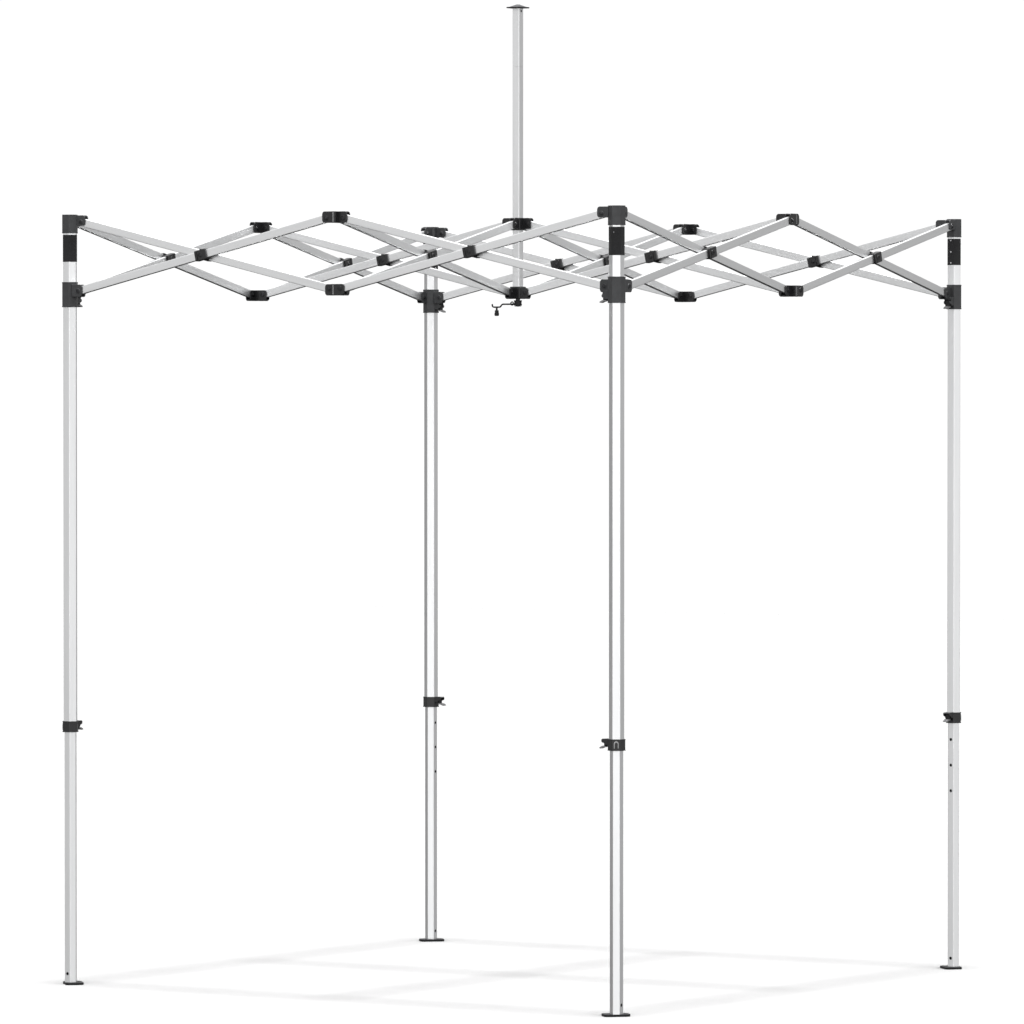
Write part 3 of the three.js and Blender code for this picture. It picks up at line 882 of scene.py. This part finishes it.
def hub(side):
    low, high = sorted((LEVEL[side] + side * (WEB_CLEAR + HUB_CLEVIS["web"]),
                        LEVEL[side] - side * (HUB_CLEVIS["below"] + HUB["socket"])))
    half, bore = HUB["side"] / 2, HUB["bore"] / 2
    body = box((-half, -half, low), (half, half, high), 3.0, "z", edge=1.2)
    shaft = box((-bore, -bore, low - 9), (bore, bore, high + 9), 1.5, "z", edge=0)
    return cut(join(body, *clevises(side, HUB_CLEVIS, HUB_ARMS)), shaft)


def square_tube(outer, inner, corner, low, high):
    return tube(square(outer / 2, corner), square(inner / 2, corner * 0.5), low, high)


def pole_section(low, high):
    """A length of the square pole."""
    return square_tube(POLE["side"], POLE["bore"], POLE["corner"], low, high)


def cross_hole():
    """The hole across the top of the pole, as a cutter."""
    return drill(POLE["hole_radius"], -20, 20, (0, POLE["hole"]), "x")


def upper_section():
    """The upper section of the pole, with the narrower tube that slides in the fixed one."""
    shoulder = POLE["seam"] + 0.6
    inner = square_tube(SPIGOT["side"], SPIGOT["bore"], SPIGOT["corner"],
                        height("pole_upper")[0], POLE["seam"] + SPIGOT["above"])
    return group(cut(pole_section(shoulder, POLE["top"]), cross_hole()), inner)


def hole_shade_liner():
    """A black bush in the cross hole of the pole: a dark lining that paints the shade inside the hole."""
    centre, reach = (0, POLE["hole"]), POLE["side"] / 2 - 0.3
    return tube(circle(POLE["hole_radius"] - PLAY, centre), circle(POLE["liner"], centre),
                -reach, reach, "x", edge=0)


def frustum(lower, upper, low, high):
    """A solid between two level outlines of equally many points."""
    bm = bmesh.new()
    loops = [[bm.verts.new((x, y, z)) for x, y in outline] for outline, z in ((lower, low), (upper, high))]
    for loop in loops:
        bm.faces.new(loop)
    bridge(bm, loops)
    return as_object(bm)


def pole_cap():
    """A square cap plate with a low pyramid on it."""
    low = POLE["top"]
    top = low + CAP["thick"]
    plate = prism(square(CAP["side"] / 2, CAP["corner"]), low, top, edge=1.2)
    plug = prism(square(CAP["plug"], 1.0), low - CAP["plug_deep"], low + 1, edge=0.6)
    pyramid = frustum(square(CAP["base"], 4.0), square(CAP["crown"], 2.0), top - 1, top + CAP["peak"])
    return cut(join(plate, plug, pyramid), cross_hole())


def spindle():
    """The round end of the lower hub that the crank turns on, with its washer."""
    bottom = height("hub_bottom")[0]
    top = bottom + SPINDLE["tall"]
    shaft, washer = SPINDLE["radius"], SPINDLE["washer"]
    return lathe(((0, bottom), (4, bottom), (4.6, bottom + 0.5), (washer, bottom + 0.6),
                  (washer, bottom + 2.8), (shaft, bottom + 3), (shaft, top), (0, top)))


# ---------- crank ----------


def crank_path():
    """The line of the rod: out from the barrel, down one step, and up again in a curl."""
    high, low, curl = CRANK["high"], CRANK["low"], CRANK["curl"]
    bend_from, bend_to = CRANK["bend"]
    path = [(x, high) for x in (CRANK["outer"] - 2, 30, bend_from - 3)]
    for step in range(7):
        t = step / 6
        ease = t * t * (3 - 2 * t)
        path.append((bend_from + (bend_to - bend_from) * t, high + (low - high) * ease))
    curl_from = CRANK["tip"] - 8
    path += [(CRANK["grip"], low), (curl_from, low)]
    for step in range(6):
        a = math.radians(12 + 18 * step)
        path.append((curl_from + curl * math.sin(a), low + curl - curl * math.cos(a)))
    return [(-x, 0, z) for x, z in path]


def crank_rod():
    """Barrel, eye and stepped rod of the crank, with a curled tip."""
    low, high = CRANK["bottom"], CRANK["top"]
    outer, bore, waist = CRANK["outer"], CRANK["bore"], CRANK["outer"] - 1.2
    barrel = lathe_ring((
        (bore, low), (outer - 1, low), (outer, low + 1), (outer, low + 4), (waist, low + 5),
        (waist, high - 4), (outer, high - 3), (outer, high - 1), (outer - 1, high), (bore, high)))
    eye = ring(5.0, 1.9, (-CRANK["eye"], CRANK["high"] + 2))
    return group(join(barrel, sweep(crank_path(), CRANK["rod"])), eye)


def crank_grip():
    """The grip that hangs from the rod on a short neck."""
    top, bottom, neck = GRIP["top"], GRIP["bottom"], GRIP["neck"]
    joint = CRANK["low"] - 1
    profile = ((0, bottom), (4.4, bottom), (6.6, bottom + 1.2), (7.4, bottom + 3.4), (7.2, bottom + 8),
               (6.0, top - 5), (6.6, top - 2), (6.0, top), (neck, top + 0.4), (neck, joint), (0, joint))
    return lathe(profile, (-CRANK["grip"], 0.0))


# ---------- assembly ----------

# each piece of a leg: its name, its mesh, its body and the CAD node it replaces
LEG_PIECES = (
    ("outer_tube", drawn(outer_leg(), LEG_METAL), "leg", "upper_leg"),
    ("collar", drawn(collar(), LINK_PLASTIC), "leg", None),
    ("wrap", drawn(wrap_band(), WRAP_CLOTH), "leg", None),
    ("wrap_rivet", drawn(wrap_rivet(), RIVET), "leg", None),
    ("wrap_studs", drawn(wrap_studs(), ZINC), "leg", None),
    ("collar_arch", drawn(arch(), PAINTED_HIGHLIGHT_NYLON), "leg", None),
    ("top_bracket", drawn(leg_top_bracket(), PLASTIC), "leg", "leg_top_bracket"),
    ("top_bracket_bolts", drawn(pivot_bolts(1, LEG_ARMS), BLACK_STEEL), "leg", None),
    ("slider", drawn(slider_bracket(), PLASTIC), "slider", "slider_bracket"),
    ("slider_bolts", drawn(pivot_bolts(-1, LEG_ARMS), BLACK_STEEL), "slider", None),
    ("slide_slider_latch", drawn(latch_slide(SLIDER_LATCH, OUTER_LEG), PLUG), "slider_latch",
     "slider_latch"),
    ("tab_slider_latch", drawn(pull_tab(SLIDER_LATCH), TAB_STEEL), "slider_latch", None),
    ("slide_leg_latch", drawn(latch_slide(LEG_LATCH, INNER_LEG), PLUG), "leg_latch", "leg_latch"),
    ("tab_leg_latch", drawn(pull_tab(LEG_LATCH), TAB_STEEL), "leg_latch", None),
    ("inner_tube", drawn(lower_leg(), LEG_METAL), "lower_leg", "lower_leg"),
    # painted shade: the dark bushes darken the inside of the height holes
    ("height_hole_shade_bushes", drawn(height_hole_shade_bushes(), PLUG), "lower_leg", None),
    ("foot_plate", drawn(foot_plate(), FOOT_COAT), "lower_leg", None),
)
ARM_TUBE = drawn(arm_tube(), ARM_METAL)
ARM_ENDS = drawn(arm_plugs(), PLUG)
SADDLES = {way: drawn(saddle(way), LINK_PLASTIC) for way in (-1, 1)}
CROSSING_BOLT = drawn(crossing_bolt(), BLACK_STEEL)
MID_PIECES = {
    level: {
        "bracket": drawn(mid_bracket(side), LINK_PLASTIC),
        "highlight_strip": drawn(mid_highlight_strip(side), PAINTED_HIGHLIGHT_NYLON),
        "bolts": drawn(pivot_bolts(side, MID_ARMS), BLACK_STEEL),
    } for level, side in (("top", 1), ("bottom", -1))
}


def place_leg(index):
    leg = LEGS[index]
    where = quarter(index) @ spot(-LEG, -LEG)
    for name, mesh, body, node in LEG_PIECES:
        place(f"{name}_{leg}", mesh, where, f"{body}_{leg}", node and f"{node}_{leg}")


def place_crossing(turn, start, name):
    """Two crossing arms with their plugs and saddles, and the bolt, which rides on the rising arm.

    The arm that rises along +X lies on the -Y side.
    """
    for kind, way in (("rising", -1), ("falling", 1)):
        where = turn @ spot(start, way * LAYER, LEVEL[way]) @ Matrix.Rotation(way * ARM_SLOPE, 4, "Y")
        arm = f"{name}_{kind}"
        node = f"arm_{arm}"
        place(f"tube_{arm}", ARM_TUBE, where, node, node)
        place(f"plugs_{arm}", ARM_ENDS, where, node)
        place(f"saddle_{arm}", SADDLES[way], where, node)
        if kind == "rising":
            place(f"bolt_{arm}", CROSSING_BOLT, where, node)


def place_side(index):
    """The mid brackets of a side, its four arms, and the two arms from its middle to the centre."""
    side = SIDES[index]
    where = quarter(index) @ spot(0.0, -LEG)
    for level, meshes in MID_PIECES.items():
        body = f"mid_{level}_{side}"
        place(f"bracket_{body}", meshes["bracket"], where, body, f"mid_{level}_bracket_{side}")
        # painted highlight: the pale strip in the bracket's slot
        place(f"insert_{body}", meshes["highlight_strip"], where, body)
        place(f"bolts_{body}", meshes["bolts"], where, body)
    place_crossing(where, LEG_REACH - LEG, f"{side}_left")
    place_crossing(where, MID_REACH, f"{side}_right")
    place_crossing(quarter(index + 1), MID_INNER_REACH - LEG, f"{side}_centre")


def place_centre():
    """Both hubs, the pole and the crank, which are drawn where they stand."""
    here = Matrix.Identity(4)
    place("top_hub", drawn(hub(1), LINK_PLASTIC), here, "hub_top", "hub_top")
    place("top_hub_bolts", drawn(pivot_bolts(1, HUB_ARMS), BLACK_STEEL), here, "hub_top")
    place("bottom_hub", drawn(hub(-1), LINK_PLASTIC), here, "hub_bottom", "hub_bottom")
    place("bottom_hub_bolts", drawn(pivot_bolts(-1, HUB_ARMS), BLACK_STEEL), here, "hub_bottom")
    fixed_low = height("hub_bottom")[0] + SPINDLE["tall"] - 1
    place("pole_fixed", drawn(pole_section(fixed_low, POLE["seam"]), LEG_METAL), here, "hub_bottom")
    place("crank_spindle", drawn(spindle(), BLACK_STEEL), here, "hub_bottom")
    place("pole_sliding", drawn(upper_section(), LEG_METAL), here, "pole_upper", "pole_upper")
    place("pole_cap", drawn(pole_cap(), CAP_GREY), here, "pole_upper")
    # painted shade: a dark lining that darkens the pole's cross hole
    place("pole_hole_shade_liner", drawn(hole_shade_liner(), PLUG), here, "pole_upper")
    place("crank_arm", drawn(crank_rod(), CRANK_COAT), here, "crank", "crank")
    place("crank_grip", drawn(crank_grip(), PLUG), here, "crank")


for quarter_index in range(4):
    place_leg(quarter_index)
    place_side(quarter_index)
place_centre()

# ---------- stage, light and camera ----------

CAMERA = {"lens": 243.56, "sensor": 36.0, "place": (11.976, -18.3144, 1.8696), "turn": 33.23,
          "pitch": -1.05, "far": 200.0}
FLOOR_SIZE = 60.0
FLOOR_TONE = (0.2435, 0.2435, 0.2435)  # under the studio's strong light this comes out just white
TOP_LIGHT = {"energy": 9.0, "angle": 5.5, "tilt": (1.0, 1.0)}
# brightness of the studio round the horizon: (azimuth from +X in degrees, brightness)
STUDIO_RING = ((-180, 0.38), (-150, 0.60), (-123, 0.95), (-95, 1.45), (-60, 1.94), (-25, 1.66),
               (0, 1.32), (30, 0.80), (57, 0.56), (90, 0.45), (117, 0.42), (150, 0.36), (180, 0.38))
# brightness above and below, and between which heights each fades in, from 0 straight down to 1 straight up
STUDIO_TOP = {"brightness": 1.6, "fade": (0.62, 0.90)}
STUDIO_BELOW = {"brightness": 0.05, "fade": (0.465, 0.37)}
STUDIO_STRENGTH = 2.0  # keeps the colours of the ramps under 1
BACKDROP = 1.03  # a little over white, so that the edge of the floor doesn't show


def make_camera():
    data = bpy.data.cameras.new("camera")
    data.lens = CAMERA["lens"]
    data.sensor_width = CAMERA["sensor"]
    data.clip_end = CAMERA["far"]
    camera = added("camera", data)
    camera.location = CAMERA["place"]
    camera.rotation_euler = (math.radians(90 + CAMERA["pitch"]), 0.0, math.radians(CAMERA["turn"]))
    bpy.context.scene.camera = camera


def make_floor():
    material = new_material("studio_floor", "", FLOOR_TONE, 0.9, Specular_IOR_Level=0.0)
    mottle = noise(material, (1.5, 1.5, 1.5), 2.0)
    vary_color(material, mottle, FLOOR_TONE, tuple(1.01 * tone for tone in FLOOR_TONE))
    low, half = cad_box[0].z, FLOOR_SIZE / 2
    mesh = bpy.data.meshes.new("floor")
    mesh.from_pydata([(x, y, low) for x, y in square(half, 0)], [], [(0, 1, 2, 3)])
    mesh.materials.append(material)
    floor = added("floor", mesh)
    floor.visible_glossy = False
    floor.visible_diffuse = False


def math_node(tree, operation, first, second=None):
    """A sum on one or two values, each a number or a socket."""
    node = tree.nodes.new("ShaderNodeMath")
    node.operation = operation
    for socket, value in zip(node.inputs, (first, second)):
        if isinstance(value, (int, float)):
            socket.default_value = value
        elif value is not None:
            tree.links.new(value, socket)
    return node.outputs[0]


def grey(value):
    return (value, value, value, 1.0)


def ramp_node(tree, source, stops):
    """A grey ramp through (position, value) stops."""
    node = tree.nodes.new("ShaderNodeValToRGB")
    elements = node.color_ramp.elements
    for index, (position, value) in enumerate(stops):
        stop = elements[index] if index < 2 else elements.new(position)
        stop.position = position
        stop.color = grey(value)
    tree.links.new(source, node.inputs["Fac"])
    return node.outputs["Color"]


def fade_node(tree, factor, color, value):
    """A colour that fades to a grey value as the factor goes from 0 to 1."""
    node = tree.nodes.new("ShaderNodeMix")
    node.data_type = "RGBA"
    tree.links.new(factor, node.inputs["Factor"])
    tree.links.new(color, node.inputs["A"])
    node.inputs["B"].default_value = grey(value)
    return node.outputs["Result"]


def make_studio():
    """A white room: bright above and on the camera's side, dimmer behind, dark below."""
    world = bpy.data.worlds.new("studio")
    bpy.context.scene.world = world
    world.use_nodes = True
    tree = world.node_tree
    tree.nodes.clear()
    where = tree.nodes.new("ShaderNodeTexCoord")
    parts = tree.nodes.new("ShaderNodeSeparateXYZ")
    tree.links.new(where.outputs["Generated"], parts.inputs["Vector"])
    turn = math_node(tree, "ARCTAN2", parts.outputs["Y"], parts.outputs["X"])
    turn = math_node(tree, "ADD", math_node(tree, "DIVIDE", turn, 2 * math.pi), 0.5)
    rise = math_node(tree, "ADD", math_node(tree, "MULTIPLY", parts.outputs["Z"], 0.5), 0.5)
    color = ramp_node(tree, turn, [(azimuth / 360 + 0.5, value / STUDIO_STRENGTH)
                                   for azimuth, value in STUDIO_RING])
    low, high = STUDIO_TOP["fade"]
    color = fade_node(tree, ramp_node(tree, rise, ((0.0, 0.0), (low, 0.0), (high, 1.0))),
                      color, STUDIO_TOP["brightness"] / STUDIO_STRENGTH)
    high, low = STUDIO_BELOW["fade"]
    color = fade_node(tree, ramp_node(tree, rise, ((0.0, 1.0), (low, 1.0), (high, 0.0))),
                      color, STUDIO_BELOW["brightness"] / STUDIO_STRENGTH)
    light = tree.nodes.new("ShaderNodeBackground")
    light.inputs["Strength"].default_value = STUDIO_STRENGTH
    tree.links.new(color, light.inputs["Color"])
    white = tree.nodes.new("ShaderNodeBackground")
    white.inputs["Color"].default_value = grey(1.0)
    white.inputs["Strength"].default_value = BACKDROP
    path = tree.nodes.new("ShaderNodeLightPath")
    choose = tree.nodes.new("ShaderNodeMixShader")
    tree.links.new(path.outputs["Is Camera Ray"], choose.inputs["Fac"])
    tree.links.new(light.outputs["Background"], choose.inputs[1])
    tree.links.new(white.outputs["Background"], choose.inputs[2])
    out = tree.nodes.new("ShaderNodeOutputWorld")
    tree.links.new(choose.outputs["Shader"], out.inputs["Surface"])


def make_top_light():
    """A soft light high above, for the pale shadows on the floor."""
    data = bpy.data.lights.new("top_light", "SUN")
    data.energy = TOP_LIGHT["energy"]
    data.angle = math.radians(TOP_LIGHT["angle"])
    tilt = [math.radians(angle) for angle in TOP_LIGHT["tilt"]]
    added("top_light", data).rotation_euler = (*tilt, 0.0)


make_camera()
make_floor()
make_studio()
make_top_light()
bpy.context.scene.view_settings.view_transform = "Standard"
